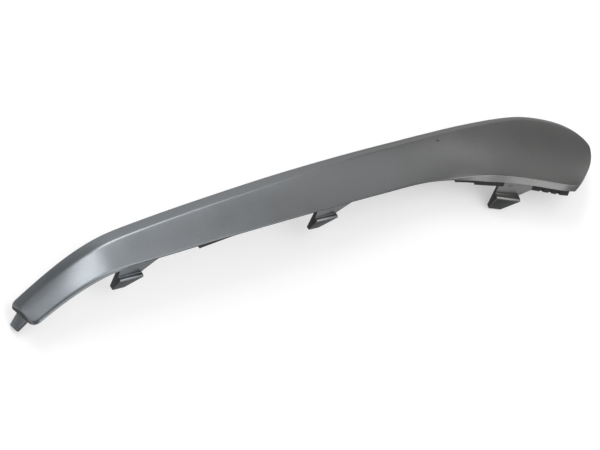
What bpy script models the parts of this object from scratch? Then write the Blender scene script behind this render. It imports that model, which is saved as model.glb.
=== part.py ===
# Bumper grille trim: one moulded strip with a tapered lip, a soft crease, a leaf-shaped wide end,
# three snap hooks along its lower side and a locating tab at its narrow end.
# The strip is modelled face up: X along its length from the narrow end, Y across it, Z out of
# the face, which is also the way the mould opens. At the end it is turned to lie on a floor.

import math

import bmesh
import bpy
import numpy as np
from mathutils import Matrix, Vector

MM = 0.001
JOIN = 0.002 * MM
CUT_CLEARANCE = 3.0

# Size of the strip in plan, in mm as everything below.
LENGTH = 450.6
SPREAD = 74.6

# Course of the two rails: pairs of facing points on the lower and the upper rail, from the
# narrow end to the wide end. They stretch with LENGTH and SPREAD, and so do places along them.
RAILS = [
    ((7.0, 0.0), (0.0, 21.0)),
    ((18.4, 2.3), (11.5, 24.1)),
    ((32.4, 4.5), (25.9, 27.7)),
    ((50.4, 6.7), (44.4, 32.1)),
    ((68.4, 8.1), (63.4, 36.0)),
    ((100.4, 9.5), (95.4, 40.4)),
    ((152.4, 12.8), (147.4, 47.0)),
    ((192.4, 15.9), (188.4, 52.5)),
    ((227.4, 19.2), (224.4, 57.2)),
    ((262.4, 22.9), (261.4, 62.1)),
    ((288.4, 26.0), (289.4, 65.9)),
    ((302.4, 26.8), (306.4, 68.2)),
    ((316.4, 26.2), (324.4, 70.0)),
    ((330.4, 24.2), (344.4, 71.7)),
    ((346.4, 20.8), (366.4, 73.0)),
    ((364.4, 17.3), (389.4, 74.3)),
    ((380.4, 12.9), (409.4, 74.6)),
    ((394.4, 8.4), (427.2, 71.2)),
    ((403.4, 5.6), (440.6, 65.2)),
    ((409.4, 4.4), (448.6, 56.5)),
    ((412.9, 4.0), (450.6, 47.7)),
    ((413.7, 4.0), (450.0, 42.4)),
]

# Sweep of the whole strip in depth: a long bow, and a dive over the narrow end.
BOW_RADIUS = 1300.0
BOW_CENTRE = 181.6
DIVE_START = 83.6
DIVE_LENGTH = 70.0
DIVE_SLOPE = 0.50
DIVE_SKEW = math.radians(12.0)

# The wide end leans forward towards its upper rail.
LEAN = 7.0
LEAN_START = 292.4
LEAN_LENGTH = 110.0

# Section at the narrow end, in the middle and at the wide end: height of the lip on the lower
# rail and its rounding, the crease's distance from the upper rail, its height and rounding,
# and the dome of the face between them.
LIP_HEIGHTS = (3.5, 0.9, 4.8)
LIP_RADII = (2.85, 0.45, 0.75)
CREASE_INSETS = (6.8, 9.3, 6.0)
CREASE_HEIGHTS = (4.8, 5.0, 5.1)
CREASE_RADII = (16.0, 4.0, 9.0)
FACE_DOMES = (0.5, 0.5, 2.2)

# Where these change, as start and length: on the lower rail for the lip, else on the upper.
LIP_NARROW_BLEND = (42.4, 45.0)
LIP_WIDE_BLEND = (310.4, 42.0)
CREASE_NARROW_BLEND = (7.4, 60.0)
CREASE_WIDE_BLEND = (180.0, 90.0)
FACE_WIDE_BLEND = (252.4, 100.0)

WALL = 2.4
ROOF_MARGIN = 0.8
CAVITY_LEDGE = 0.5
UPPER_HEIGHT = 2.5
UPPER_RADIUS = 1.2

# Ends: the bow of the wide end's edge in plan, the rounding over the ends and of their corners.
END_BOW = 4.6
END_BOW_LENGTH = 60.0
END_ROUNDING = 1.2
TIP_RADIUS_LOWER = 4.5
TIP_RADIUS_UPPER = 3.0
WIDE_TIP_RADIUS = 2.5

# Snap hooks, from the narrow end. Heights are from the rim that the hook hangs from, insets
# from its outer side. The catch is the flat shoulder that faces back towards the trim.
HOOK_PLACES = (64.6, 208.7, 357.5)
HOOK_ANGLES = (math.radians(2.5), math.radians(2.0), math.radians(-15.0))
HOOK_SLOPES = (0.0, 0.0, -0.13)
HOOK_ROOTS = (1.1, 1.0, 3.9)
HOOK_SHOULDERS = (10.0, 9.6, 13.0)
HOOK_CATCHES = (2.8, 2.6, 4.2)
HOOK_HEADS = (14.2, 13.2, 15.4)
HOOK_WIDTHS = (16.4, 16.4, 18.5)
HOOK_TIPS = (8.4, 8.0, 9.4)
HOOK_TIP_INSETS = (2.7, 2.3, 0.6)
HOOK_TIP_THICKNESSES = (4.0, 3.0, 3.8)
HOOK_GUSSETS = (16.8, 13.8, 19.7)
HOOK_INSET = 2.8
HOOK_LEG = 1.8
HOOK_LAND = 0.7
HOOK_CHIN = 1.2
HOOK_NECK = 0.6
HOOK_SEAT = 2.0

# Inner flanges below the lower rim: where each starts and ends, and its reach below the rim.
FLANGE_STARTS = (120.4, 323.4, 338.4)
FLANGE_ENDS = (147.4, 339.4, 409.4)
FLANGE_REACHES = ((6.0, 3.2), (4.4, 4.4), (6.0, 6.6))
FLANGE_INSET = 2.6
FLANGE_THICKNESS = 1.8
FLANGE_COVER = 0.8
NOTCH_STARTS = (388.4, 394.9, 400.9)
NOTCH_WIDTH = 2.4
NOTCH_HEIGHT = 2.6

# Locating tab on the narrow end: a short wall down from the underside of the face, with a
# slanted tongue that comes out below the end wall. Heights are from the sweep surface.
TAB_FROM_RIM = 13.8
TAB_BASE = 9.8
TAB_TIP = 6.6
TAB_LENGTH = 10.2
TAB_ROOT = 3.8
TAB_THICKNESS = 2.4
TAB_SETBACK = 4.0
TAB_DROP = 5.4
TAB_ANGLE = math.radians(49.0)

# Spacing of the sections along the upper rail, and points in a rounding.
STEP_NARROW = 4.0
STEP_STRAIGHT = 8.0
STEP_WIDE = 6.0
STEP_CORNER = 3.0
CORNER_LENGTH = 64.0
TIP_LENGTH = 5.2
TIP_STEPS = 5
ARC_STEPS = 4
FACE_STEPS = 5
SHARP_EDGE = math.radians(30.0)

# Limits that keep the sections sound: the share of a side that one rounding may take, the
# least slant of a wall that is allowed for, and the least distance between hollow sections.
ROUNDING_SHARE = 0.48
LEAST_SLANT = 0.5
RING_APART = 0.9

SATIN_SILVER = (0.30, 0.31, 0.325)
SATIN_ROUGHNESS = 0.38
SATIN_METALLIC = 0.6


def smooth(value, start, length):
    """0 before start, 1 after start + length, with a soft rise between."""
    t = np.clip((value - start) / length, 0.0, 1.0)
    return t * t * (3.0 - 2.0 * t)


def stretched(rails):
    """Rails at the strip's own length and spread, and how much places along it stretch."""
    points = np.array(rails, float)
    drawn = points.reshape(-1, 2).max(axis=0) - (0.0, points.reshape(-1, 2)[:, 1].min())
    factors = np.array([LENGTH, SPREAD]) / drawn
    return (points * factors).reshape(-1, 4), float(factors[0])


PLAN, STRETCH = stretched(RAILS)


def base_depth(x, y):
    """Height of the sweep surface under a plan point."""
    along = x * math.cos(DIVE_SKEW) + y * math.sin(DIVE_SKEW)
    bow = -((along - BOW_CENTRE * STRETCH) ** 2) / (2.0 * BOW_RADIUS)
    u = np.clip((DIVE_START - along) / DIVE_LENGTH, 0.0, 1.0)
    dive = DIVE_SLOPE * DIVE_LENGTH * (u**3 - 0.5 * u**4)
    beyond = np.maximum(DIVE_START - DIVE_LENGTH - along, 0.0) * DIVE_SLOPE
    return bow - dive - beyond


def spline(points, count=30):
    """Dense smooth curve through the points, with knots spaced by the root of the chord."""
    first = 2.0 * points[0] - points[1]
    last = 2.0 * points[-1] - points[-2]
    p = np.vstack([first, points, last])
    chord = np.linalg.norm(np.diff(p[:, 2:], axis=0), axis=1)
    knots = np.concatenate([[0.0], np.cumsum(np.sqrt(chord))])
    out = []
    for i in range(1, len(p) - 2):
        t0, t1, t2, t3 = knots[i - 1 : i + 3]
        end = i == len(p) - 3
        for t in np.linspace(t1, t2, count, endpoint=end):
            a1 = (t1 - t) / (t1 - t0) * p[i - 1] + (t - t0) / (t1 - t0) * p[i]
            a2 = (t2 - t) / (t2 - t1) * p[i] + (t - t1) / (t2 - t1) * p[i + 1]
            a3 = (t3 - t) / (t3 - t2) * p[i + 1] + (t - t2) / (t3 - t2) * p[i + 2]
            b1 = (t2 - t) / (t2 - t0) * a1 + (t - t0) / (t2 - t0) * a2
            b2 = (t3 - t) / (t3 - t1) * a2 + (t - t1) / (t3 - t1) * a3
            out.append((t2 - t) / (t2 - t1) * b1 + (t - t1) / (t2 - t1) * b2)
    return np.array(out)


CURVE = spline(PLAN)
LENGTHS = np.concatenate([[0.0], np.cumsum(np.linalg.norm(np.diff(CURVE[:, 2:], axis=0), axis=1))])
TOTAL = LENGTHS[-1]


def unit(vector):
    return vector / np.linalg.norm(vector)


def rails_at(s):
    """Lower and upper plan points at a distance along the upper rail."""
    values = [np.interp(s, LENGTHS, CURVE[:, k]) for k in range(4)]
    return np.array(values[:2]), np.array(values[2:])


def rails_over(x):
    """Lower and upper plan points whose lower one is at this x."""
    values = [np.interp(x, CURVE[:, 0], CURVE[:, k]) for k in range(4)]
    return np.array(values[:2]), np.array(values[2:])


def blended(sizes, narrow, wide):
    """A size between its values at the narrow end, in the middle and at the wide end."""
    return sizes[1] + (sizes[0] - sizes[1]) * narrow + (sizes[2] - sizes[1]) * wide


def narrow_share(x, blend):
    return 1.0 - float(smooth(x, blend[0] * STRETCH, blend[1]))


def wide_share(x, blend):
    return float(smooth(x, blend[0] * STRETCH, blend[1]))


def section_shape(low, high):
    """Sizes of the section between these two rail points."""
    lip = (narrow_share(low[0], LIP_NARROW_BLEND), wide_share(low[0], LIP_WIDE_BLEND))
    narrow = narrow_share(high[0], CREASE_NARROW_BLEND)
    crease = (narrow, wide_share(high[0], CREASE_WIDE_BLEND))
    face = (narrow, wide_share(high[0], FACE_WIDE_BLEND))
    return {
        "lip": blended(LIP_HEIGHTS, *lip),
        "lip_radius": blended(LIP_RADII, *lip),
        "crease": blended(CREASE_INSETS, *crease),
        "crease_radius": blended(CREASE_RADII, *crease),
        "rise": blended(CREASE_HEIGHTS, *face),
        "dome": blended(FACE_DOMES, *face),
    }


def rounded(corners):
    """Polyline with each inner corner (v, h, radius) replaced by an arc."""
    out = [np.array(corners[0][:2])]
    for before, here, after in zip(corners, corners[1:], corners[2:]):
        p = np.array(here[:2])
        a = np.array(before[:2]) - p
        b = np.array(after[:2]) - p
        la, lb = np.linalg.norm(a), np.linalg.norm(b)
        a, b = a / la, b / lb
        half = 0.5 * math.acos(float(np.clip(a @ b, -1.0, 1.0)))
        reach = min(here[2] / math.tan(half), ROUNDING_SHARE * la, ROUNDING_SHARE * lb)
        centre = p + unit(a + b) * reach / math.cos(half)
        start = p + a * reach - centre
        end = p + b * reach - centre
        sweep = (math.pi - 2.0 * half) * math.copysign(1.0, start[0] * end[1] - start[1] * end[0])
        for k in range(ARC_STEPS + 1):
            c, s = math.cos(sweep * k / ARC_STEPS), math.sin(sweep * k / ARC_STEPS)
            out.append(centre + np.array([c * start[0] - s * start[1], s * start[0] + c * start[1]]))
    out.append(np.array(corners[-1][:2]))
    return out


def underside(start, end, height):
    """Points below a section, without its two ends, so that it follows the sweep and the bow."""
    return [np.array([start + (end - start) * k / FACE_STEPS, height]) for k in range(1, FACE_STEPS)]


def outer_profile(width, shape, drop):
    """Lip, domed face, crease, facet and upper edge, lowered towards the rounding of an end."""
    left = 1.0 - drop / shape["rise"]
    points = rounded([
        (0.0, 0.0, 0.0),
        (0.0, shape["lip"] * left, shape["lip_radius"]),
        (width - shape["crease"], shape["rise"] * left, shape["crease_radius"]),
        (width, UPPER_HEIGHT * left, UPPER_RADIUS),
        (width, 0.0, 0.0),
    ])
    before = 1 + ARC_STEPS
    first, last = points[before], points[before + 1]
    face = []
    for k in range(1, FACE_STEPS):
        t = k / FACE_STEPS
        dome = shape["dome"] * 4.0 * t * (1.0 - t)
        face.append(first + (last - first) * t + np.array([0.0, dome]))
    return points[: before + 1] + face + points[before + 1 :] + underside(width, 0.0, 0.0)


def cavity_profile(width, shape, wall_low, wall_high):
    """Hollow behind the face and the facet, one wall thickness below them."""
    crease_v = width - shape["crease"]
    face = (shape["rise"] - shape["lip"]) / crease_v
    facet = (UPPER_HEIGHT - shape["rise"]) / shape["crease"]
    face_drop = WALL * math.hypot(1.0, face)
    facet_drop = WALL * math.hypot(1.0, facet)
    roof_low = shape["lip"] - face_drop
    cross_v = crease_v + (facet_drop - face_drop) / (facet - face)
    cross_v = min(max(cross_v, wall_low + ROOF_MARGIN), width - wall_high - ROOF_MARGIN)
    cross_h = roof_low + face * cross_v
    high_v = width - wall_high
    high_h = min(shape["rise"] - facet_drop + facet * (high_v - crease_v), cross_h)
    low_v = min(max(wall_low, (CAVITY_LEDGE - roof_low) / face), cross_v - ROOF_MARGIN)
    start = np.array([low_v, roof_low + face * low_v])
    end = np.array([cross_v, cross_h])
    roof = []
    for k in range(FACE_STEPS + 1):
        t = k / FACE_STEPS
        dome = shape["dome"] * 4.0 * t * (1.0 - t)
        roof.append(start + (end - start) * t + np.array([0.0, dome]))
    feet = [np.array([v, -CUT_CLEARANCE]) for v in (low_v, high_v)]
    below = underside(high_v, low_v, -CUT_CLEARANCE)
    return feet[:1] + roof + [np.array([high_v, high_h])] + feet[1:] + below


def place(low, high, bow, lean, profile):
    """Points of a section profile in the strip's frame."""
    width = float(np.linalg.norm(high - low))
    across = (high - low) / width
    ahead = np.array([across[1], -across[0]])
    out = []
    for v, h in profile:
        t = v / width
        p = low + across * v + ahead * bow * 4.0 * t * (1.0 - t)
        out.append((p[0], p[1], float(base_depth(p[0], p[1])) + lean * t + h))
    return out


def lean_at(high):
    return LEAN * float(smooth(high[0], LEAN_START * STRETCH, LEAN_LENGTH))


def bow_at(s):
    return END_BOW * float(smooth(s, TOTAL - END_BOW_LENGTH, END_BOW_LENGTH))


def stations():
    """Places of the sections along the upper rail, close together at the ends and corners."""
    tip = [TIP_LENGTH * (k / TIP_STEPS) ** 2 for k in range(TIP_STEPS + 1)]
    marks = [tip[-1] + STEP_CORNER, DIVE_START, LEAN_START * STRETCH, TOTAL - CORNER_LENGTH]
    marks.append(TOTAL - tip[-1])
    middle = []
    steps = (STEP_NARROW, STEP_STRAIGHT, STEP_WIDE, STEP_CORNER)
    for start, end, step in zip(marks, marks[1:], steps):
        middle += list(np.linspace(start, end, math.ceil((end - start) / step), endpoint=False))
    return tip + middle + [TOTAL - d for d in reversed(tip)]


def tip_inset(distance, radius):
    """How far a rounded corner of this radius draws in at a distance from the end."""
    d = min(max(distance, 0.0), radius)
    return radius - math.sqrt(radius**2 - (radius - d) ** 2)


def trimmed(s):
    """Rail points with the rounded corners of both ends taken off, and the drop of the face."""
    low, high = rails_at(s)
    across = unit(high - low)
    end = TOTAL - s
    low = low + across * max(tip_inset(s, TIP_RADIUS_LOWER), tip_inset(end, WIDE_TIP_RADIUS))
    high = high - across * max(tip_inset(s, TIP_RADIUS_UPPER), tip_inset(end, WIDE_TIP_RADIUS))
    return low, high, tip_inset(min(s, end), END_ROUNDING)


def settled(mesh):
    """Flat triangles only, and no points closer together than a hair."""
    bm = bmesh.new()
    bm.from_mesh(mesh)
    bmesh.ops.remove_doubles(bm, verts=bm.verts, dist=JOIN)
    bmesh.ops.dissolve_degenerate(bm, edges=bm.edges, dist=JOIN)
    bmesh.ops.triangulate(bm, faces=bm.faces)
    bm.to_mesh(mesh)
    bm.free()


def loft(name, rings):
    """Closed solid through rings of equal length, turned so that its faces point out."""
    n = len(rings[0])
    faces = []
    for i in range(len(rings) - 1):
        for j in range(n):
            k = (j + 1) % n
            faces.append((i * n + j, i * n + k, (i + 1) * n + k, (i + 1) * n + j))
    last = (len(rings) - 1) * n
    faces.append(tuple(reversed(range(n))))
    faces.append(tuple(last + j for j in range(n)))
    mesh = bpy.data.meshes.new(name)
    mesh.from_pydata([tuple(c * MM for c in v) for ring in rings for v in ring], [], faces)
    settled(mesh)
    bm = bmesh.new()
    bm.from_mesh(mesh)
    bmesh.ops.recalc_face_normals(bm, faces=bm.faces)
    bm.to_mesh(mesh)
    bm.free()
    obj = bpy.data.objects.new(name, mesh)
    bpy.context.scene.collection.objects.link(obj)
    return obj


def boolean(target, tool, operation):
    modifier = target.modifiers.new(tool.name, "BOOLEAN")
    modifier.operation = operation
    modifier.solver = "EXACT"
    modifier.object = tool
    graph = bpy.context.evaluated_depsgraph_get()
    mesh = bpy.data.meshes.new_from_object(target.evaluated_get(graph))
    target.modifiers.clear()
    target.data = mesh
    settled(mesh)
    bpy.data.objects.remove(tool)


def outer_solid():
    rings = []
    for s in stations():
        low, high, drop = trimmed(s)
        width = float(np.linalg.norm(high - low))
        profile = outer_profile(width, section_shape(low, high), drop)
        rings.append(place(low, high, bow_at(s), lean_at(high), profile))
    return loft("trim_moulding", rings)


def wall_along(s, side):
    """Wall thickness measured along the section, where that meets the rail at a slant."""
    a = rails_at(max(s - WALL, 0.0))[side]
    b = rails_at(min(s + WALL, TOTAL))[side]
    low, high = rails_at(s)
    across = unit(high - low)
    step = unit(b - a)
    slant = abs(step[0] * across[1] - step[1] * across[0])
    return WALL / max(slant, LEAST_SLANT)


def cavity_ring(low, high, s, bow):
    shape = section_shape(low, high)
    width = float(np.linalg.norm(high - low))
    profile = cavity_profile(width, shape, wall_along(s, 0), wall_along(s, 1))
    return place(low, high, bow, lean_at(high), profile)


def cavity_solid():
    """Hollow from one wall behind the narrow end to one wall before the wide end."""
    low_last, high_last = rails_at(TOTAL)
    across = unit(high_last - low_last)
    ahead = np.array([across[1], -across[0]])
    apart = WALL + RING_APART
    low, high, _ = trimmed(WALL)
    rings = [cavity_ring(low, high, WALL, 0.0)]
    for s in stations():
        low, high, _ = trimmed(s)
        gap = min((low_last - low) @ ahead, (high_last - high) @ ahead)
        if s > apart and gap > apart:
            rings.append(cavity_ring(low, high, s, bow_at(s)))
    low = low_last - ahead * WALL
    high = high_last - ahead * WALL
    rings.append(cavity_ring(low, high, TOTAL - 2.0 * WALL, END_BOW))
    return loft("cavity", rings)


def prism(name, corner, along, polygon, axis, span, slope=0.0):
    """Polygon drawn in two directions from a rim corner and extruded along the third.

    axis 0 extrudes along the rail (the polygon is in inset and height), axis 1 extrudes
    along the inset (the polygon is in distance along the rail and height).
    """
    inward = np.array([-along[1], along[0]])
    z = float(base_depth(corner[0], corner[1]))
    rings = []
    for end in span:
        ring = []
        for u, h in polygon:
            a, i = (end, u) if axis == 0 else (u, end)
            q = corner + along * a + inward * i
            ring.append((q[0], q[1], z + slope * a + h))
        rings.append(ring)
    return loft(name, rings)


def hook_solid(i):
    """Side profile of the leg and its catch, cut to the outline it has from the front."""
    corner = rails_over(HOOK_PLACES[i] * STRETCH)[0]
    along = np.array([math.cos(HOOK_ANGLES[i]), math.sin(HOOK_ANGLES[i])])
    slope = HOOK_SLOPES[i]
    width = HOOK_WIDTHS[i]
    base = width + HOOK_GUSSETS[i]
    far = corner + along * base
    fall = float(base_depth(*far) - base_depth(*corner)) - slope * base
    root = HOOK_ROOTS[i]
    top = root + HOOK_SEAT + max(fall, 0.0)
    shoulder = -HOOK_SHOULDERS[i]
    ridge = shoulder - HOOK_LAND
    chin = ridge - HOOK_CHIN
    end = shoulder - HOOK_HEADS[i]
    catch = HOOK_INSET - HOOK_CATCHES[i]
    tip = HOOK_INSET + HOOK_TIP_INSETS[i]
    back = tip + HOOK_TIP_THICKNESSES[i]
    side = [
        (HOOK_INSET, top),
        (HOOK_INSET, shoulder),
        (catch, shoulder),
        (catch, ridge),
        (tip, end),
        (back, end),
        (HOOK_INSET + HOOK_LEG, top),
    ]
    slant = (width - HOOK_TIPS[i]) / (chin - end)
    front = [
        (0.0, root),
        (0.0, end - CUT_CLEARANCE),
        (HOOK_TIPS[i] - slant * CUT_CLEARANCE, end - CUT_CLEARANCE),
        (width, chin),
        (width, shoulder + HOOK_NECK),
        (base, root + fall),
    ]
    solid = prism("hook", corner, along, side, 0, (-CUT_CLEARANCE, base + CUT_CLEARANCE), slope)
    span = (catch - CUT_CLEARANCE, back + CUT_CLEARANCE)
    boolean(solid, prism("front", corner, along, front, 1, span, slope), "INTERSECT")
    return solid


def flange_solid(start, end, reaches):
    """Thin wall inside the lower rim that hangs below it."""
    rings = []
    for x in np.linspace(start, end, max(3, math.ceil((end - start) / STEP_NARROW))):
        low, high = rails_over(x)
        shape = section_shape(low, high)
        width = float(np.linalg.norm(high - low))
        face = (shape["rise"] - shape["lip"]) / (width - shape["crease"])
        reach = np.interp(x, (start, end), reaches)
        profile = []
        for v, foot_first in ((FLANGE_INSET, True), (FLANGE_INSET + FLANGE_THICKNESS, False)):
            ends = [(v, -reach), (v, shape["lip"] + face * v - FLANGE_COVER)]
            profile += ends if foot_first else ends[::-1]
        rings.append(place(low, high, 0.0, lean_at(high), profile))
    return loft("flange", rings)


def notch_solid(place_along):
    """Cutter for a gap in the lower edge of the last flange."""
    x = place_along * STRETCH
    corner = rails_over(x)[0]
    along = unit(rails_over(x + NOTCH_WIDTH)[0] - corner)
    ends = (FLANGE_STARTS[-1] * STRETCH, FLANGE_ENDS[-1] * STRETCH)
    reach = float(np.interp(x, ends, FLANGE_REACHES[-1]))
    near = FLANGE_INSET - 0.5 * FLANGE_THICKNESS
    far = FLANGE_INSET + 2.0 * FLANGE_THICKNESS
    below = -reach - CUT_CLEARANCE
    top = NOTCH_HEIGHT - reach
    opening = [(near, below), (near, top), (far, top), (far, below)]
    return prism("notch", corner, along, opening, 0, (0.0, NOTCH_WIDTH))


def tab_solid():
    low, high = rails_at(0.0)
    across = unit(high - low)
    out = np.array([-across[1], across[0]])
    middle = low + across * TAB_FROM_RIM - out * TAB_SETBACK
    z = float(base_depth(middle[0], middle[1]))
    run, fall = math.cos(TAB_ANGLE), math.sin(TAB_ANGLE)
    tip_out, tip_low = TAB_LENGTH * run, -TAB_DROP - TAB_LENGTH * fall
    under_out, under_low = tip_out - TAB_THICKNESS * fall, tip_low - TAB_THICKNESS * run
    bend = under_low + (under_out + TAB_THICKNESS) * fall / run
    side = [
        (0.0, TAB_ROOT, TAB_BASE),
        (0.0, -TAB_DROP, TAB_BASE),
        (tip_out, tip_low, TAB_TIP),
        (under_out, under_low, TAB_TIP),
        (-TAB_THICKNESS, bend, TAB_BASE),
        (-TAB_THICKNESS, TAB_ROOT + TAB_THICKNESS * DIVE_SLOPE, TAB_BASE),
    ]
    rings = []
    for sign in (-0.5, 0.5):
        ring = []
        for reach, height, width in side:
            q = middle + out * reach + across * sign * width
            ring.append((q[0], q[1], z + height))
        rings.append(ring)
    return loft("tab", rings)


def settle(obj):
    """Turn the trim to the way it lies face up: on the tab, a hook tip and the upper rim."""
    points = np.array([v.co for v in obj.data.vertices])
    wide_half = points[:, 0] > 0.5 * LENGTH * MM
    feet = [int(np.argmin(points[:, 0]))]
    feet.append(int(np.argmin(np.where(wide_half, points[:, 2], np.inf))))
    feet.append(int(np.argmax(points[:, 1])))
    for _ in range(40):
        a, b, c = points[feet]
        normal = unit(np.cross(b - a, c - a))
        normal = normal * math.copysign(1.0, normal[2])
        heights = (points - a) @ normal
        lowest = int(np.argmin(heights))
        if heights[lowest] > -1e-8:
            break
        apart = np.linalg.norm(points[feet] - points[lowest], axis=1)
        feet[int(np.argmin(apart))] = lowest
    ahead = unit(np.array([1.0, 0.0, 0.0]) - normal * normal[0])
    turn = np.array([ahead, np.cross(normal, ahead), normal])
    placed = points @ turn.T
    middle = 0.5 * (placed.min(axis=0) + placed.max(axis=0))
    shift = Vector((-middle[0], -middle[1], -placed[:, 2].min()))
    obj.data.transform(Matrix.Translation(shift) @ Matrix(turn.tolist()).to_4x4())


def painted(name, colour, roughness, metallic):
    material = bpy.data.materials.new(name)
    material.use_nodes = True
    shader = material.node_tree.nodes["Principled BSDF"]
    shader.inputs["Base Color"].default_value = (*colour, 1.0)
    shader.inputs["Roughness"].default_value = roughness
    shader.inputs["Metallic"].default_value = metallic
    return material


def moulded():
    """The trim in the way it is drawn: shell, flanges, hooks and tab as one body."""
    trim = outer_solid()
    boolean(trim, cavity_solid(), "DIFFERENCE")
    for start, end, reaches in zip(FLANGE_STARTS, FLANGE_ENDS, FLANGE_REACHES):
        boolean(trim, flange_solid(start * STRETCH, end * STRETCH, reaches), "UNION")
    for start in NOTCH_STARTS:
        boolean(trim, notch_solid(start), "DIFFERENCE")
    for i in range(len(HOOK_PLACES)):
        boolean(trim, hook_solid(i), "UNION")
    boolean(trim, tab_solid(), "UNION")
    return trim


def build():
    for obj in list(bpy.data.objects):
        bpy.data.objects.remove(obj)
    trim = moulded()
    settle(trim)
    trim.data.materials.clear()
    trim.data.materials.append(painted("satin_silver", SATIN_SILVER, SATIN_ROUGHNESS, SATIN_METALLIC))
    trim.data.shade_smooth()
    trim.data.set_sharp_from_angle(angle=SHARP_EDGE)


build()
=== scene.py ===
# Looks of the bumper grille trim: the moulding at full smoothness with softened hooks, a satin
# silver metallic paint over a dark moulded plastic, a pale floor and soft studio light.

import math

import bmesh
import bpy
import numpy as np
from mathutils import Matrix, Vector


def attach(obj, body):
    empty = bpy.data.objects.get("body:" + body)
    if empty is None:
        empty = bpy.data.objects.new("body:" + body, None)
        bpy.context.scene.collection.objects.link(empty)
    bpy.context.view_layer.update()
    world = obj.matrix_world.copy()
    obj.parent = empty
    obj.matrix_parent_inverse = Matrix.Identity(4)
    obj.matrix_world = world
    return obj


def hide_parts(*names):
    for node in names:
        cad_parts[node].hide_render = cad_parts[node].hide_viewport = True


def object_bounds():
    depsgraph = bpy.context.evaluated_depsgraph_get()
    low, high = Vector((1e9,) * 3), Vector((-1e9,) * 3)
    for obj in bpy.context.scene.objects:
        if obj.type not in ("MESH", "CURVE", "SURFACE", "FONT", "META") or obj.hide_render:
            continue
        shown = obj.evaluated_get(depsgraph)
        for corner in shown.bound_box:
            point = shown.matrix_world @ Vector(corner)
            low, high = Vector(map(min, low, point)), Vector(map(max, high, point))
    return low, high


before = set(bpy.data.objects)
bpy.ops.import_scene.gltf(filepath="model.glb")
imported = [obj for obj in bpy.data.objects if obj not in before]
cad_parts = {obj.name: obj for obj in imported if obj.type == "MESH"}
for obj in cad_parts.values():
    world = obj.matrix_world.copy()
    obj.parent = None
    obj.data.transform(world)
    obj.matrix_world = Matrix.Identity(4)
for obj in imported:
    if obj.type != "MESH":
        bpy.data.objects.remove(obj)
CAD_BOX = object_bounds()
NODE = "trim_moulding"

MM = 0.001
JOIN = 0.001 * MM
CUT_CLEARANCE = 3.0

# How the trim lies: the way up at rest, as it is in the drawn frame, and the shift in mm.
REST_NORMAL = (-0.002867, -0.440243, 0.897874)
REST_SHIFT = (-224.7006, -24.9841, 48.1050)

# Course of the two rails in plan, in mm: facing points on the lower and the upper rail.
RAILS = [
    ((7.0, 0.0), (0.0, 21.0)),
    ((18.4, 2.3), (11.5, 24.1)),
    ((32.4, 4.5), (25.9, 27.7)),
    ((50.4, 6.7), (44.4, 32.1)),
    ((68.4, 8.1), (63.4, 36.0)),
    ((100.4, 9.5), (95.4, 40.4)),
    ((152.4, 12.8), (147.4, 47.0)),
    ((192.4, 15.9), (188.4, 52.5)),
    ((227.4, 19.2), (224.4, 57.2)),
    ((262.4, 22.9), (261.4, 62.1)),
    ((288.4, 26.0), (289.4, 65.9)),
    ((302.4, 26.8), (306.4, 68.2)),
    ((316.4, 26.2), (324.4, 70.0)),
    ((330.4, 24.2), (344.4, 71.7)),
    ((346.4, 20.8), (366.4, 73.0)),
    ((364.4, 17.3), (389.4, 74.3)),
    ((380.4, 12.9), (409.4, 74.6)),
    ((394.4, 8.4), (427.2, 71.2)),
    ((403.4, 5.6), (440.6, 65.2)),
    ((409.4, 4.4), (448.6, 56.5)),
    ((412.9, 4.0), (450.6, 47.7)),
    ((413.7, 4.0), (450.0, 42.4)),
]

# Sweep in depth, and the lean of the wide end.
BOW_RADIUS = 1300.0
BOW_CENTRE = 181.6
DIVE_START = 83.6
DIVE_LENGTH = 70.0
DIVE_SLOPE = 0.50
DIVE_SKEW = math.radians(12.0)
LEAN = 7.0
LEAN_START = 292.4
LEAN_LENGTH = 110.0

# Section at the narrow end, in the middle and at the wide end, and where it changes.
LIP_HEIGHTS = (2.0, 0.9, 4.3)
LIP_RADII = (1.9, 0.45, 0.75)
CREASE_INSETS = (6.8, 9.3, 6.0)
CREASE_HEIGHTS = (3.0, 5.0, 5.1)
CREASE_RADII = (16.0, 4.0, 9.0)
FACE_DOMES = (1.2, 0.5, 2.2)
LIP_NARROW_BLEND = (42.4, 45.0)
LIP_WIDE_BLEND = (310.4, 42.0)
CREASE_NARROW_BLEND = (7.4, 60.0)
CREASE_WIDE_BLEND = (180.0, 90.0)
FACE_WIDE_BLEND = (252.4, 100.0)
WALL = 2.4
SLANT_REACH = 2.0
SLANT_LEAST = 0.5
ROOF_MARGIN = 0.8
CAVITY_LEDGE = 0.5
UPPER_HEIGHT = 2.5
UPPER_RADIUS = 0.7

# How far the top of the lip leans in over the face.
LIP_LEANS = (1.1, 0.0, 1.7)

# Most of a straight stretch that the rounding at one end of it may take up.
LIP_SHARE = 0.9
ROUNDING_SHARE = 0.48

# Ends.
END_BOW = 4.6
END_BOW_LENGTH = 60.0
END_ROUNDING = 0.35
TIP_RADIUS_LOWER = 4.5
TIP_RADIUS_UPPER = 3.0
WIDE_TIP_RADIUS = 2.5

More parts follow.
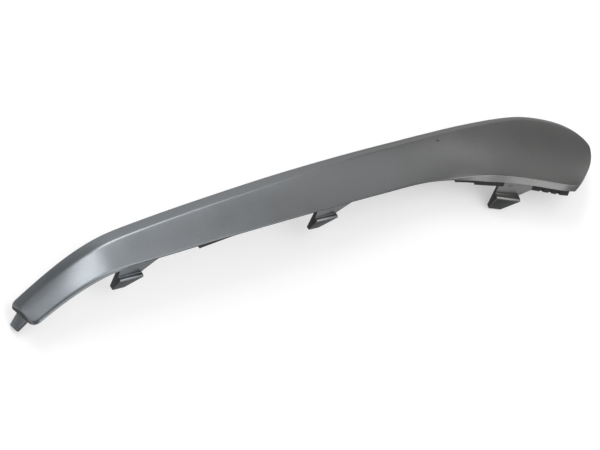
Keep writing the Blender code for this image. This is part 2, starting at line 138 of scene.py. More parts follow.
# Snap hooks, from the narrow end.
HOOK_PLACES = (64.6, 208.7, 357.5)
HOOK_ANGLES = (math.radians(2.5), math.radians(2.0), math.radians(-15.0))
HOOK_SLOPES = (0.0, 0.0, -0.13)
HOOK_ROOTS = (1.1, 1.0, 3.9)
HOOK_SHOULDERS = (10.0, 9.6, 13.0)
HOOK_CATCHES = (2.8, 2.6, 4.2)
HOOK_HEADS = (14.2, 13.2, 15.4)
HOOK_WIDTHS = (16.4, 16.4, 18.5)
HOOK_TIPS = (8.4, 8.0, 9.4)
HOOK_TIP_INSETS = (2.7, 2.3, 0.6)
HOOK_TIP_THICKNESSES = (4.0, 3.0, 3.8)
HOOK_GUSSETS = (16.8, 13.8, 19.7)
HOOK_INSET = 2.8
HOOK_LEG = 1.8
HOOK_LAND = 0.7
HOOK_CHIN = 1.2
HOOK_NECK = 0.6
HOOK_SEAT = 2.0
CATCH_EDGE = 0.8

# Inner flanges and their notches.
FLANGE_STARTS = (120.4, 323.4, 338.4)
FLANGE_ENDS = (147.4, 339.4, 409.4)
FLANGE_REACHES = ((6.0, 3.2), (4.4, 4.4), (6.0, 6.6))
FLANGE_INSET = 2.6
FLANGE_THICKNESS = 1.8
FLANGE_COVER = 0.8
NOTCH_STARTS = (388.4, 394.9, 400.9)
NOTCH_WIDTH = 2.4
NOTCH_HEIGHT = 2.6
NOTCH_SHARE = 0.5

# Locating tab.
TAB_FROM_RIM = 13.8
TAB_BASE = 9.8
TAB_TIP = 6.6
TAB_LENGTH = 10.2
TAB_ROOT = 2.4
TAB_THICKNESS = 2.4
TAB_SETBACK = 4.0
TAB_DROP = 5.4
TAB_ANGLE = math.radians(49.0)

# Fineness of the mesh, and the softening of moulded corners.
CURVE_STEPS = 30
STEP = 1.6
TIP_LENGTH = 5.2
TIP_STEPS = 10
ARC_STEPS = 8
FACE_STEPS = 14
SOFT_EDGE = 0.35
SOFT_STEPS = 3
SOFT_FROM = math.radians(20.0)
FLAT_WITHIN = math.radians(1.0)
SHARP_EDGE = math.radians(32.0)

# Spray paint on the face and on the hooks. way is the direction the spray comes from, at rest.
# A surface stays bare, in the dark plastic, where the cosine between it and that way is below
# the first value, and is covered above the second one. That dark is partly painted shade: on the
# hooks' sides and ramps and on the lower and end walls it stands in for the shade they lie in.
# The last values are the width of the paint that clings to edges, in metres, its share, the
# clear coat and the gloss. On the hooks that edge paint is partly a painted glint along their
# edges.
FACE_PAINT = {
    "way": (0.0026, 0.4402, 0.8979),
    "bare_and_shaded_below": 0.0,
    "covered_above": 0.26,
    "edge_width": 0.0003,
    "edge_paint_and_glint": 0.0,
    "coat": 0.08,
    "gloss": 0.5,
}
HOOK_PAINT_AND_SHADE = {
    "way": (0.0029, -0.1866, 0.9823),
    "bare_and_shaded_below": 0.38,
    "covered_above": 0.56,
    "edge_width": 0.0010,
    "edge_paint_and_glint": 0.9,
    "coat": 0.0,
    "gloss": 0.2,
}
RAGGED_SCALE = 160.0
RAGGED_DETAIL = 3.0
RAGGED_SHARE = 0.08
EDGE_SAMPLES = 6
EDGE_SPAN = (0.995, 0.96)

# Colour of the paint: its tone at the narrow and at the wide end, and the stretch of X between.
# The shift from a cool tone at the narrow end to a neutral one at the wide end is a painted
# reflection.
COOL_REFLECTION_SILVER = (0.177, 0.193, 0.206, 1.0)
NEUTRAL_SILVER = (0.189, 0.188, 0.185, 1.0)
REFLECTION_TINT_SPAN = (-0.19, 0.14)
CLOUD_GREY = (0.10, 0.10, 0.10, 1.0)
CLOUD_SHARE = 0.10
CLOUD_SCALE = 14.0
CLOUD_DETAIL = 3.0
FLAKE_DARK = (0.90, 0.90, 0.90, 1.0)
FLAKE_LIGHT = (1.08, 1.08, 1.09, 1.0)
FLAKE_SCALE = 5500.0
NICK_PLACE = (0.0994, 0.0268, 0.0204)
NICK_RADIUS = 0.0007
NICK_SCALE = 1500.0
NICK_SHARE = 0.7
NICK_COLOUR = (0.03, 0.03, 0.03, 1.0)

# Surface of the paint: gloss, roughness, and bumps with their depths in metres.
PAINT_METAL = 0.9
PAINT_TINT = (0.35, 0.35, 0.35, 1.0)
COAT_ROUGHNESS = 0.2
SATIN_ROUGHNESS = (0.29, 0.34)
SATIN_SCALE = 55.0
SATIN_DETAIL = 4.0
PAINT_EDGE = 0.0003
PAINT_EDGE_SAMPLES = 4
PEEL_SCALE = 420.0
PEEL_STRENGTH = 0.5
PEEL_DEPTH = 0.00002
GRAIN_SCALE = 4200.0
GRAIN_STRENGTH = 0.35
GRAIN_DEPTH = 0.000008

# Plastic: where the paint is missing, and on the flanges and in the hollow. Where the paint is
# missing on the hooks and the lower walls, its dark is partly painted shade.
BARE_DARK = (0.018, 0.019, 0.020, 1.0)
BARE_LIGHT = (0.028, 0.029, 0.030, 1.0)
BARE_ROUGHNESS = (0.5, 0.5, 0.5, 1.0)
PLASTIC_DARK = (0.012, 0.013, 0.014, 1.0)
PLASTIC_LIGHT = (0.030, 0.031, 0.032, 1.0)
PLASTIC_ROUGHNESS = (0.42, 0.55)
PLASTIC_GLOSS = 0.2
PATCH_SCALE = 90.0
PATCH_DETAIL = 4.0
PLASTIC_DULL_SCALE = 60.0
PLASTIC_DULL_DETAIL = 3.0
PLASTIC_GRAIN_SCALE = 1800.0
PLASTIC_GRAIN_STRENGTH = 0.5
PLASTIC_GRAIN_DEPTH = 0.00003

# Range that most of a noise texture's values lie in.
NOISE_SPAN = (0.3, 0.7)

# Camera: its place, and the ways its right side and its back point.
CAMERA_PLACE = (-0.64429, -0.27234, 1.12644)
CAMERA_RIGHT = (0.8589, -0.30712, 0.40984)
CAMERA_BACK = (-0.47958, -0.20155, 0.85404)
LENS = 120.0
CLIP_START = 0.05

# Softboxes: name, direction round the trim and above the floor in degrees, width and height in
# metres, and the brightness they show.
LAMP_DISTANCE = 2.4
SOFTBOXES = (
    ("bend_softbox", 83.0, 30.0, 0.8, 1.0, 7.6),
    ("bend_side_softbox", 110.0, 40.0, 0.6, 0.7, 2.2),
    ("back_softbox", 118.0, 54.0, 1.0, 0.9, 5.3),
    ("horizon_softbox", 70.0, 8.5, 0.9, 0.22, 1.9),
    ("right_softbox", 52.0, 27.0, 1.4, 0.6, 0.82),
    ("middle_softbox", 66.0, 23.0, 0.4, 0.5, 1.7),
    ("top_softbox", 50.0, 60.0, 1.2, 1.0, 1.2),
    ("overhead_softbox", -40.0, 80.0, 1.8, 1.6, 2.6),
    ("front_softbox", -45.0, 50.0, 1.4, 1.2, 1.8),
    ("low_front_softbox", -85.0, 24.0, 1.6, 0.7, 2.7),
    ("bend_horizon_softbox", 85.0, 11.0, 0.35, 0.3, 3.6),
    ("left_softbox", 168.0, 38.0, 2.2, 1.9, 0.9),
)
WORLD_GREY = (0.27, 0.27, 0.27, 1.0)

# Floor: half its side in metres, its colour, and the light it shows to the camera and to gloss.
FLOOR_REACH = 6.0
FLOOR_GREY = (0.50, 0.50, 0.50, 1.0)
FLOOR_GLOW = 0.44
WHITE = (1.0, 1.0, 1.0, 1.0)


def smooth(value, start, length):
    """0 before start, 1 after start + length, with a soft rise between."""
    t = np.clip((value - start) / length, 0.0, 1.0)
    return t * t * (3.0 - 2.0 * t)


def base_depth(x, y):
    """Height of the sweep surface under a plan point."""
    along = x * math.cos(DIVE_SKEW) + y * math.sin(DIVE_SKEW)
    bow = -((along - BOW_CENTRE) ** 2) / (2.0 * BOW_RADIUS)
    u = np.clip((DIVE_START - along) / DIVE_LENGTH, 0.0, 1.0)
    dive = DIVE_SLOPE * DIVE_LENGTH * (u**3 - 0.5 * u**4)
    beyond = np.maximum(DIVE_START - DIVE_LENGTH - along, 0.0) * DIVE_SLOPE
    return bow - dive - beyond


def spline(points):
    """Dense smooth curve through the points, with knots spaced by the root of the chord."""
    first = 2.0 * points[0] - points[1]
    last = 2.0 * points[-1] - points[-2]
    p = np.vstack([first, points, last])
    chord = np.linalg.norm(np.diff(p[:, 2:], axis=0), axis=1)
    knots = np.concatenate([[0.0], np.cumsum(np.sqrt(chord))])
    out = []
    for i in range(1, len(p) - 2):
        t0, t1, t2, t3 = knots[i - 1 : i + 3]
        end = i == len(p) - 3
        for t in np.linspace(t1, t2, CURVE_STEPS, endpoint=end):
            a1 = (t1 - t) / (t1 - t0) * p[i - 1] + (t - t0) / (t1 - t0) * p[i]
            a2 = (t2 - t) / (t2 - t1) * p[i] + (t - t1) / (t2 - t1) * p[i + 1]
            a3 = (t3 - t) / (t3 - t2) * p[i + 1] + (t - t2) / (t3 - t2) * p[i + 2]
            b1 = (t2 - t) / (t2 - t0) * a1 + (t - t0) / (t2 - t0) * a2
            b2 = (t3 - t) / (t3 - t1) * a2 + (t - t1) / (t3 - t1) * a3
            out.append((t2 - t) / (t2 - t1) * b1 + (t - t1) / (t2 - t1) * b2)
    return np.array(out)


CURVE = spline(np.array(RAILS).reshape(-1, 4))
CHORDS = np.linalg.norm(np.diff(CURVE[:, 2:], axis=0), axis=1)
LENGTHS = np.concatenate([[0.0], np.cumsum(CHORDS)])
TOTAL = LENGTHS[-1]


def unit(vector):
    return vector / np.linalg.norm(vector)


def rails_at(s):
    """Lower and upper plan points at a distance along the upper rail."""
    values = [np.interp(s, LENGTHS, CURVE[:, k]) for k in range(4)]
    return np.array(values[:2]), np.array(values[2:])


def rails_over(x):
    """Lower and upper plan points whose lower one is at this x."""
    values = [np.interp(x, CURVE[:, 0], CURVE[:, k]) for k in range(4)]
    return np.array(values[:2]), np.array(values[2:])


def blended(sizes, narrow, wide):
    """A size between its values at the narrow end, in the middle and at the wide end."""
    return sizes[1] + (sizes[0] - sizes[1]) * narrow + (sizes[2] - sizes[1]) * wide


def section_shape(low, high):
    """Sizes of the section between these two rail points."""
    lip = (1.0 - smooth(low[0], *LIP_NARROW_BLEND), smooth(low[0], *LIP_WIDE_BLEND))
    narrow = 1.0 - smooth(high[0], *CREASE_NARROW_BLEND)
    crease = (narrow, smooth(high[0], *CREASE_WIDE_BLEND))
    face = (narrow, smooth(high[0], *FACE_WIDE_BLEND))
    return {
        "lip": blended(LIP_HEIGHTS, *lip),
        "lip_radius": blended(LIP_RADII, *lip),
        "crease": blended(CREASE_INSETS, *crease),
        "crease_radius": blended(CREASE_RADII, *crease),
        "rise": blended(CREASE_HEIGHTS, *face),
        "dome": blended(FACE_DOMES, *face),
        "lean": blended(LIP_LEANS, *lip),
    }


def rounded(corners):
    """Polyline with each inner corner (v, h, radius) replaced by an arc."""
    out = [np.array(corners[0][:2])]
    share = LIP_SHARE
    for before, here, after in zip(corners, corners[1:], corners[2:]):
        p = np.array(here[:2])
        a = np.array(before[:2]) - p
        b = np.array(after[:2]) - p
        la, lb = np.linalg.norm(a), np.linalg.norm(b)
        a, b = a / la, b / lb
        half = 0.5 * math.acos(float(np.clip(a @ b, -1.0, 1.0)))
        reach = min(here[2] / math.tan(half), share * la, ROUNDING_SHARE * lb)
        share = ROUNDING_SHARE
        centre = p + unit(a + b) * reach / math.cos(half)
        start = p + a * reach - centre
        end = p + b * reach - centre
        side = math.copysign(1.0, start[0] * end[1] - start[1] * end[0])
        sweep = (math.pi - 2.0 * half) * side
        for k in range(ARC_STEPS + 1):
            c, s = math.cos(sweep * k / ARC_STEPS), math.sin(sweep * k / ARC_STEPS)
            turned = np.array([c * start[0] - s * start[1], s * start[0] + c * start[1]])
            out.append(centre + turned)
    out.append(np.array(corners[-1][:2]))
    return out


def underside(start, end, height):
    """Points below a section, without its two ends, so that it follows the sweep and the bow."""
    places = [start + (end - start) * k / FACE_STEPS for k in range(1, FACE_STEPS)]
    return [np.array([v, height]) for v in places]


def outer_profile(width, shape, drop):
    """Lip, domed face, crease, facet and upper edge, lowered towards the rounding of an end."""
    left = 1.0 - drop / shape["rise"]
    points = rounded([
        (0.0, 0.0, 0.0),
        (shape["lean"], shape["lip"] * left, shape["lip_radius"]),
        (width - shape["crease"], shape["rise"] * left, shape["crease_radius"]),
        (width, UPPER_HEIGHT * left, UPPER_RADIUS),
        (width, 0.0, 0.0),
    ])
    before = 1 + ARC_STEPS
    first, last = points[before], points[before + 1]
    face = [first + (last - first) * k / FACE_STEPS for k in range(1, FACE_STEPS)]
    top = points[: before + 1] + face + points[before + 1 :]
    crown = shape["dome"] * left * 4.0 / width**2
    top = [p + np.array([0.0, crown * p[0] * (width - p[0])]) for p in top]
    return top + underside(width, 0.0, 0.0)


def cavity_profile(width, shape, wall_low, wall_high):
    """Hollow behind the face and the facet, one wall thickness below them."""
    crease_v = width - shape["crease"]
    face = (shape["rise"] - shape["lip"]) / crease_v
    facet = (UPPER_HEIGHT - shape["rise"]) / shape["crease"]
    face_drop = WALL * math.hypot(1.0, face)
    facet_drop = WALL * math.hypot(1.0, facet)
    roof_low = shape["lip"] - face_drop
    cross_v = crease_v + (facet_drop - face_drop) / (facet - face)
    cross_v = min(max(cross_v, wall_low + ROOF_MARGIN), width - wall_high - ROOF_MARGIN)
    cross_h = roof_low + face * cross_v
    high_v = width - wall_high
    high_h = min(shape["rise"] - facet_drop + facet * (high_v - crease_v), cross_h)
    low_v = min(max(wall_low, (CAVITY_LEDGE - roof_low) / face), cross_v - ROOF_MARGIN)
    start = np.array([low_v, roof_low + face * low_v])
    end = np.array([cross_v, cross_h])
    roof = []
    for k in range(FACE_STEPS + 1):
        t = k / FACE_STEPS
        dome = shape["dome"] * 4.0 * t * (1.0 - t)
        roof.append(start + (end - start) * t + np.array([0.0, dome]))
    feet = [np.array([v, -CUT_CLEARANCE]) for v in (low_v, high_v)]
    below = underside(high_v, low_v, -CUT_CLEARANCE)
    return feet[:1] + roof + [np.array([high_v, high_h])] + feet[1:] + below


def place(low, high, bow, lean, profile):
    """Points of a section profile in the strip's drawn frame."""
    width = float(np.linalg.norm(high - low))
    across = (high - low) / width
    ahead = np.array([across[1], -across[0]])
    out = []
    for v, h in profile:
        t = v / width
        p = low + across * v + ahead * bow * 4.0 * t * (1.0 - t)
        out.append((p[0], p[1], float(base_depth(p[0], p[1])) + lean * t + h))
    return out


def lean_at(high):
    """How much higher the upper rail lies than the lower one."""
    return LEAN * float(smooth(high[0], LEAN_START, LEAN_LENGTH))


def bow_at(s):
    """How far the middle of a section runs ahead of its rail points."""
    return END_BOW * float(smooth(s, TOTAL - END_BOW_LENGTH, END_BOW_LENGTH))


def stations():
    """Places of the sections along the upper rail, closer together at the two ends."""
    tip = [TIP_LENGTH * (k / TIP_STEPS) ** 2 for k in range(TIP_STEPS + 1)]
    start, end = tip[-1] + STEP, TOTAL - tip[-1]
    middle = list(np.linspace(start, end, math.ceil((end - start) / STEP), endpoint=False))
    return tip + middle + [TOTAL - d for d in reversed(tip)]


def tip_inset(distance, radius):
    """How far a rounded corner of this radius draws in at a distance from the end."""
    d = min(max(distance, 0.0), radius)
    return radius - math.sqrt(radius**2 - (radius - d) ** 2)


def trimmed(s):
    """Rail points with the rounded corners of both ends taken off, and the drop of the face."""
    low, high = rails_at(s)
    across = unit(high - low)
    end = TOTAL - s
    low = low + across * max(tip_inset(s, TIP_RADIUS_LOWER), tip_inset(end, WIDE_TIP_RADIUS))
    high = high - across * max(tip_inset(s, TIP_RADIUS_UPPER), tip_inset(end, WIDE_TIP_RADIUS))
    return low, high, tip_inset(min(s, end), END_ROUNDING)


def settled(mesh):
    """Flat triangles only, and no points closer together than a hair."""
    bm = bmesh.new()
    bm.from_mesh(mesh)
    bmesh.ops.remove_doubles(bm, verts=bm.verts, dist=JOIN)
    bmesh.ops.dissolve_degenerate(bm, edges=bm.edges, dist=JOIN)
    bmesh.ops.triangulate(bm, faces=bm.faces)
    bm.to_mesh(mesh)
    bm.free()


def loft(name, rings):
    """Closed solid through rings of equal length, turned so that its faces point out."""
    n = len(rings[0])
    faces = []
    for i in range(len(rings) - 1):
        for j in range(n):
            k = (j + 1) % n
            faces.append((i * n + j, i * n + k, (i + 1) * n + k, (i + 1) * n + j))
    last = (len(rings) - 1) * n
    faces.append(tuple(reversed(range(n))))
    faces.append(tuple(last + j for j in range(n)))
    mesh = bpy.data.meshes.new(name)
    mesh.from_pydata([tuple(c * MM for c in v) for ring in rings for v in ring], [], faces)
    settled(mesh)
    bm = bmesh.new()
    bm.from_mesh(mesh)
    bmesh.ops.recalc_face_normals(bm, faces=bm.faces)
    bm.to_mesh(mesh)
    bm.free()
    obj = bpy.data.objects.new(name, mesh)
    bpy.context.scene.collection.objects.link(obj)
    return obj


def boolean(target, tool, operation):
    """Cut, join or cross two shapes, each face in the material that it had."""
    modifier = target.modifiers.new(tool.name, "BOOLEAN")
    modifier.operation = operation
    modifier.solver = "EXACT"
    modifier.object = tool
    modifier.material_mode = "TRANSFER"
    graph = bpy.context.evaluated_depsgraph_get()
    mesh = bpy.data.meshes.new_from_object(target.evaluated_get(graph))
    target.modifiers.clear()
    target.data = mesh
    settled(mesh)
    bpy.data.objects.remove(tool)


def softened(obj, width):
    """Round the sharp corners of a small moulded shape."""
    bm = bmesh.new()
    bm.from_mesh(obj.data)
    bmesh.ops.dissolve_limit(bm, angle_limit=FLAT_WITHIN, verts=bm.verts, edges=bm.edges)
    bmesh.ops.bevel(
        bm,
        geom=[e for e in bm.edges if e.is_manifold and e.calc_face_angle() > SOFT_FROM],
        offset=width * MM,
        segments=SOFT_STEPS,
        profile=0.5,
        affect="EDGES",
        clamp_overlap=True,
    )
    bmesh.ops.triangulate(bm, faces=bm.faces)
    bm.to_mesh(obj.data)
    bm.free()
    return obj


def outer_solid():
    """The shell without its hollow."""
    rings = []
    for s in stations():
        low, high, drop = trimmed(s)
        width = float(np.linalg.norm(high - low))
        profile = outer_profile(width, section_shape(low, high), drop)
        rings.append(place(low, high, bow_at(s), lean_at(high), profile))
    return loft("satin_trim", rings)


def wall_along(s, side):
    """Wall thickness measured along the section, where that meets the rail at a slant."""
    a = rails_at(max(s - SLANT_REACH, 0.0))[side]
    b = rails_at(min(s + SLANT_REACH, TOTAL))[side]
    low, high = rails_at(s)
    across = unit(high - low)
    step = unit(b - a)
    slant = abs(step[0] * across[1] - step[1] * across[0])
    return WALL / max(slant, SLANT_LEAST)


def cavity_ring(low, high, s, bow):
    """One section of the hollow at a distance along the upper rail."""
    shape = section_shape(low, high)
    width = float(np.linalg.norm(high - low))
    profile = cavity_profile(width, shape, wall_along(s, 0), wall_along(s, 1))
    return place(low, high, bow, lean_at(high), profile)


def cavity_solid():
    """Hollow from one wall behind the narrow end to one wall before the wide end."""
    low_last, high_last = rails_at(TOTAL)
    across = unit(high_last - low_last)
    ahead = np.array([across[1], -across[0]])
    apart = WALL + 0.5 * STEP
    low, high, _ = trimmed(WALL)
    rings = [cavity_ring(low, high, WALL, 0.0)]
    for s in stations():
        low, high, _ = trimmed(s)
        gap = min((low_last - low) @ ahead, (high_last - high) @ ahead)
        if s > apart and gap > apart:
            rings.append(cavity_ring(low, high, s, bow_at(s)))
    low = low_last - ahead * WALL
    high = high_last - ahead * WALL
    rings.append(cavity_ring(low, high, TOTAL - 2.0 * WALL, END_BOW))
    return loft("cavity", rings)


def prism(name, corner, along, polygon, axis, span, slope=0.0):
    """Polygon drawn in two directions from a rim corner and extruded along the third.

    axis 0 extrudes along the rail (the polygon is in inset and height), axis 1 extrudes
    along the inset (the polygon is in distance along the rail and height).
    """
    inward = np.array([-along[1], along[0]])
    z = float(base_depth(corner[0], corner[1]))
    rings = []
    for end in span:
        ring = []
        for u, h in polygon:
            a, i = (end, u) if axis == 0 else (u, end)
            q = corner + along * a + inward * i
            ring.append((q[0], q[1], z + slope * a + h))
        rings.append(ring)
    return loft(name, rings)


def hook_solid(i):
    """Side profile of the leg and its catch, cut to the outline it has from the front."""
    corner = rails_over(HOOK_PLACES[i])[0]
    along = np.array([math.cos(HOOK_ANGLES[i]), math.sin(HOOK_ANGLES[i])])
    slope = HOOK_SLOPES[i]
    width = HOOK_WIDTHS[i]
    base = width + HOOK_GUSSETS[i]
    far = corner + along * base
    fall = float(base_depth(*far) - base_depth(*corner)) - slope * base
    root = HOOK_ROOTS[i]
    top = root + HOOK_SEAT + max(fall, 0.0)
    shoulder = -HOOK_SHOULDERS[i]
    ridge = shoulder - HOOK_LAND
    chin = ridge - HOOK_CHIN
    end = shoulder - HOOK_HEADS[i]
    catch = HOOK_INSET - HOOK_CATCHES[i]
    tip = HOOK_INSET + HOOK_TIP_INSETS[i]
    back = tip + HOOK_TIP_THICKNESSES[i]
    side = [
        (HOOK_INSET, top),
        (HOOK_INSET, shoulder),
        (catch + CATCH_EDGE, shoulder),
        (catch, shoulder - CATCH_EDGE),
        (catch, ridge - CATCH_EDGE),
        (tip, end),
        (back, end),
        (HOOK_INSET + HOOK_LEG, top),
    ]
    slant = (width - HOOK_TIPS[i]) / (chin - end)
    front = [
        (0.0, root),
        (0.0, end - CUT_CLEARANCE),
        (HOOK_TIPS[i] - slant * CUT_CLEARANCE, end - CUT_CLEARANCE),
        (width, chin),
        (width, shoulder + HOOK_NECK),
        (base, root + fall),
    ]
    solid = prism("hook", corner, along, side, 0, (-CUT_CLEARANCE, base + CUT_CLEARANCE), slope)
    span = (catch - CUT_CLEARANCE, back + CUT_CLEARANCE)
    boolean(solid, prism("front", corner, along, front, 1, span, slope), "INTERSECT")
    return softened(solid, SOFT_EDGE)


def flange_solid(start, end, reaches):
    """Thin wall inside the lower rim that hangs below it."""
    rings = []
    for x in np.linspace(start, end, math.ceil((end - start) / STEP)):
        low, high = rails_over(x)
        shape = section_shape(low, high)
        width = float(np.linalg.norm(high - low))
        face = (shape["rise"] - shape["lip"]) / (width - shape["crease"])
        reach = np.interp(x, (start, end), reaches)
        profile = []
        for v, foot_first in ((FLANGE_INSET, True), (FLANGE_INSET + FLANGE_THICKNESS, False)):
            ends = [(v, -reach), (v, shape["lip"] + face * v - FLANGE_COVER)]
            profile += ends if foot_first else ends[::-1]
        rings.append(place(low, high, 0.0, lean_at(high), profile))
    return loft("flange", rings)


def notch_solid(x):
    """Cutter for a groove in the outer side of the last flange."""
    corner = rails_over(x)[0]
    along = unit(rails_over(x + NOTCH_WIDTH)[0] - corner)
    reach = float(np.interp(x, (FLANGE_STARTS[-1], FLANGE_ENDS[-1]), FLANGE_REACHES[-1]))
    near = FLANGE_INSET - NOTCH_SHARE * FLANGE_THICKNESS
    far = FLANGE_INSET + NOTCH_SHARE * FLANGE_THICKNESS
    below = -reach - CUT_CLEARANCE
    top = NOTCH_HEIGHT - reach
    opening = [(near, below), (near, top), (far, top), (far, below)]
    return prism("notch", corner, along, opening, 0, (0.0, NOTCH_WIDTH))


def tab_solid():
    """Tongue that comes down behind the narrow end and then points out past it."""
    low, high = rails_at(0.0)
    across = unit(high - low)
    out = np.array([-across[1], across[0]])
    middle = low + across * TAB_FROM_RIM - out * TAB_SETBACK
    z = float(base_depth(middle[0], middle[1]))
    run, fall = math.cos(TAB_ANGLE), math.sin(TAB_ANGLE)
    tip_out, tip_low = TAB_LENGTH * run, -TAB_DROP - TAB_LENGTH * fall
    under_out, under_low = tip_out - TAB_THICKNESS * fall, tip_low - TAB_THICKNESS * run
    bend = under_low + (under_out + TAB_THICKNESS) * fall / run
    side = [
        (0.0, TAB_ROOT, TAB_BASE),
        (0.0, -TAB_DROP, TAB_BASE),
        (tip_out, tip_low, TAB_TIP),
        (under_out, under_low, TAB_TIP),
        (-TAB_THICKNESS, bend, TAB_BASE),
        (-TAB_THICKNESS, TAB_ROOT + TAB_THICKNESS * DIVE_SLOPE, TAB_BASE),
    ]
    rings = []
    for sign in (-0.5, 0.5):
        ring = []
        for reach, height, width in side:
            q = middle + out * reach + across * sign * width
            ring.append((q[0], q[1], z + height))
        rings.append(ring)
    return softened(loft("tab", rings), SOFT_EDGE)


def finished(obj, material):
    """The shape with all its faces in one material."""
    obj.data.materials.clear()
    obj.data.materials.append(material)
    return obj


def joined(objects):
    """One object from several that overlap or stand apart."""
    first = objects[0]
    for other in objects[1:]:
        boolean(first, other, "UNION")
    return first


def moulded():
    """The trim as it is drawn: shell, flanges, hooks and tab as one body."""
    paint = satin_paint("satin_silver_paint", **FACE_PAINT)
    # The hooks' paint leaves their downward sides and ramps dark as painted shade, and its edge
    # paint is partly a painted glint.
    overspray_and_shade_paint = satin_paint("silver_overspray_and_painted_shade", **HOOK_PAINT_AND_SHADE)
    plastic = bare_plastic()
    trim = finished(outer_solid(), paint)
    boolean(trim, finished(cavity_solid(), plastic), "DIFFERENCE")
    fittings = []
    for start, end, reaches in zip(FLANGE_STARTS, FLANGE_ENDS, FLANGE_REACHES):
        fittings.append(finished(flange_solid(start, end, reaches), plastic))
    for start in NOTCH_STARTS:
        boolean(fittings[-1], finished(notch_solid(start), plastic), "DIFFERENCE")
    fittings += [finished(hook_solid(i), overspray_and_shade_paint) for i in range(len(HOOK_PLACES))]
    fittings.append(finished(tab_solid(), paint))
    boolean(trim, joined(fittings), "UNION")
    return trim


def rest_matrix():
    """From the drawn frame to the way the trim lies."""
    normal = unit(np.array(REST_NORMAL))
    ahead = unit(np.array([1.0, 0.0, 0.0]) - normal * normal[0])
    turn = Matrix([ahead.tolist(), np.cross(normal, ahead).tolist(), normal.tolist()])
    return Matrix.Translation(Vector(REST_SHIFT) * MM) @ turn.to_4x4()


class Nodes:
    """Short way to add and link the nodes of one material."""

    def __init__(self, material):
        material.use_nodes = True
        self.tree = material.node_tree
        self.tree.nodes.clear()

    def put(self, socket, value):
        """Link a socket to another one, or give it a value."""
        if isinstance(value, bpy.types.NodeSocket):
            self.tree.links.new(value, socket)
        else:
            socket.default_value = value

    def add(self, kind, inputs=None, **settings):
        node = self.tree.nodes.new(kind)
        for name, value in settings.items():
            setattr(node, name, value)
        for name, value in (inputs or {}).items():
            self.put(node.inputs[name], value)
        return node

    def noise(self, place, scale, detail=2.0):
        inputs = {"Vector": place, "Scale": scale, "Detail": detail, "Roughness": 0.5}
        return self.add("ShaderNodeTexNoise", inputs).outputs["Fac"]

    def ranged(self, value, before, after, **settings):
        """A value turned from one range to another, and kept inside it."""
        inputs = {"Value": value, "From Min": before[0], "From Max": before[1]}
        inputs.update({"To Min": after[0], "To Max": after[1]})
        return self.add("ShaderNodeMapRange", inputs, **settings).outputs["Result"]

    def spread(self, value, low, high):
        """A noise value turned to the range from low to high."""
        return self.ranged(value, NOISE_SPAN, (low, high))

    def mix(self, share, a, b, blend="MIX"):
        """Colour between two others. Sockets 0, 6 and 7 are the share and the two colours."""
        inputs = {0: share, 6: a, 7: b}
        return self.add("ShaderNodeMix", inputs, data_type="RGBA", blend_type=blend).outputs[2]

    def maths(self, operation, a, b):
        return self.add("ShaderNodeMath", {0: a, 1: b}, operation=operation).outputs["Value"]

    def vectors(self, operation, a, b):
        """The number that comes out of a sum with two vectors."""
        node = self.add("ShaderNodeVectorMath", {0: a, 1: b}, operation=operation)
        return node.outputs["Value"]

    def bump(self, height, strength, depth, way=None):
        """Surface direction after bumps of a depth in metres."""
        inputs = {"Strength": strength, "Distance": depth, "Height": height}
        if way is not None:
            inputs["Normal"] = way
        return self.add("ShaderNodeBump", inputs).outputs["Normal"]

    def surface(self, shader):
        self.add("ShaderNodeOutputMaterial", {"Surface": shader})


def paint_cover(n, coords, way, bare_and_shaded_below, covered_above, edge_width, edge_paint_and_glint):
    """Share of paint: full on what faces the spray, ragged in between, and some on edges. Where
    it is low, the dark plastic is partly painted shade, and on the hooks the edge paint is
    partly a painted glint.
    """
    noise = n.noise(coords.outputs["Object"], RAGGED_SCALE, RAGGED_DETAIL)
    ragged = n.spread(noise, -RAGGED_SHARE, RAGGED_SHARE)
    faced = n.vectors("DOT_PRODUCT", coords.outputs["Normal"], way)
    reached = n.maths("ADD", faced, ragged)
    between = (bare_and_shaded_below, covered_above)
    cover_and_shade = n.ranged(reached, between, (0.0, 1.0), interpolation_type="SMOOTHSTEP")
    rounded_way = n.add("ShaderNodeBevel", {"Radius": edge_width}, samples=EDGE_SAMPLES)
    flat_way = n.add("ShaderNodeNewGeometry")
    bent = n.vectors("DOT_PRODUCT", rounded_way.outputs["Normal"], flat_way.outputs["Normal"])
    return n.maths("MAXIMUM", cover_and_shade, n.ranged(bent, EDGE_SPAN, (0.0, edge_paint_and_glint)))


def silver_colour(n, place, cloud):
    """Silver that is cooler at the narrow end, a painted reflection, with soft clouds and fine
    flakes.
    """
    flake = n.add("ShaderNodeTexVoronoi", {"Vector": place, "Scale": FLAKE_SCALE})
    flake_grey = n.add("ShaderNodeRGBToBW", {"Color": flake.outputs["Color"]}).outputs["Val"]
    apart = n.add("ShaderNodeSeparateXYZ", {"Vector": place})
    along = n.ranged(apart.outputs["X"], REFLECTION_TINT_SPAN, (0.0, 1.0))
    light = n.mix(along, COOL_REFLECTION_SILVER, NEUTRAL_SILVER)
    tone = n.mix(n.spread(cloud, 0.0, CLOUD_SHARE), light, CLOUD_GREY)
    sparkle = n.mix(n.spread(flake_grey, 0.0, 1.0), FLAKE_DARK, FLAKE_LIGHT)
    return n.mix(1.0, tone, sparkle, "MULTIPLY")


def nicked(n, place, colour):
    """The colour with one small dark nick in it."""
    away = n.vectors("DISTANCE", place, NICK_PLACE)
    ragged = n.spread(n.noise(place, NICK_SCALE), -NICK_RADIUS, NICK_RADIUS)
    edge = (NICK_RADIUS, 2.0 * NICK_RADIUS)
    nick = n.ranged(n.maths("ADD", away, ragged), edge, (NICK_SHARE, 0.0))
    return n.mix(nick, colour, NICK_COLOUR)


